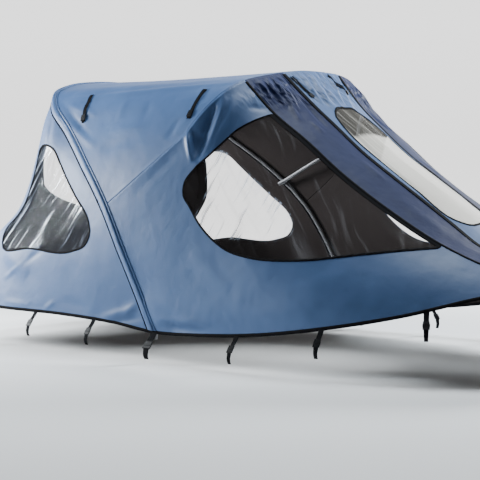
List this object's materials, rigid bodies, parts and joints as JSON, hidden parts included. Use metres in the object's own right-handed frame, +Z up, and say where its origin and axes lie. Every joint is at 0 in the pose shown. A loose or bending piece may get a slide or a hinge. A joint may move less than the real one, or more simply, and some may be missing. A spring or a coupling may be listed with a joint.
{
  "type": "boat canopy on a bow frame",
  "caption": "Blue cloth boat canopy with clear side, front and rear windows, stretched over a main bow and a front bow, with webbing straps along its hem.",
  "frame": {"origin": "on the centre plane, level with the feet of the main bow and between them", "axes": "+X towards the boat's bow, +Y to port, +Z up"},
  "size_m": [3.4913, 1.8758, 1.3929],
  "materials": {
    "canopy_cloth": "coated woven cloth, satin",
    "band_cloth": "coated woven cloth, satin",
    "window_film": "clear film",
    "binding_tape": "woven tape",
    "webbing": "ribbed webbing with moulded buckles",
    "bow_tube": "drawn tube, satin"
  },
  "bodies": {
    "root": {"bow_hinge_port": "bow_tube", "bow_hinge_starboard": "bow_tube", "bow_sleeve": "canopy_cloth", "front_band_port": "band_cloth", "front_band_starboard": "band_cloth", "front_bow": "bow_tube", "front_panel": "canopy_cloth", "front_strap_port": "webbing", "front_strap_starboard": "webbing", "front_window_pane": "window_film", "front_window_tape": "binding_tape", "hem_strap_port_1": "webbing", "hem_strap_port_2": "webbing", "hem_strap_port_3": "webbing", "hem_strap_port_4": "webbing", "hem_strap_port_5": "webbing", "hem_strap_port_6": "webbing", "hem_strap_port_7": "webbing", "hem_strap_starboard_1": "webbing", "hem_strap_starboard_2": "webbing", "hem_strap_starboard_3": "webbing", "hem_strap_starboard_4": "webbing", "hem_strap_starboard_5": "webbing", "hem_strap_starboard_6": "webbing", "hem_strap_starboard_7": "webbing", "hem_tape_front": "binding_tape", "hem_tape_port": "binding_tape", "hem_tape_rear": "binding_tape", "hem_tape_starboard": "binding_tape", "line_one_tape_port": "binding_tape", "line_one_tape_starboard": "binding_tape", "line_two_tape_port": "binding_tape", "line_two_tape_starboard": "binding_tape", "main_bow": "bow_tube", "rear_curtain": "canopy_cloth", "rear_side_panel_port": "canopy_cloth", "rear_side_panel_starboard": "canopy_cloth", "rear_side_window_pane_port": "window_film", "rear_side_window_pane_starboard": "window_film", "rear_side_window_tape_port": "binding_tape", "rear_side_window_tape_starboard": "binding_tape", "rear_window_pane": "window_film", "rear_window_tape": "binding_tape", "roof_panel": "canopy_cloth", "roof_strap_port_aft": "webbing", "roof_strap_port_fore": "webbing", "roof_strap_starboard_aft": "webbing", "roof_strap_starboard_fore": "webbing", "side_panel_port": "canopy_cloth", "side_panel_starboard": "canopy_cloth", "side_window_pane_port": "window_film", "side_window_pane_starboard": "window_film", "side_window_tape_port": "binding_tape", "side_window_tape_starboard": "binding_tape"}
  },
  "joints": []
}
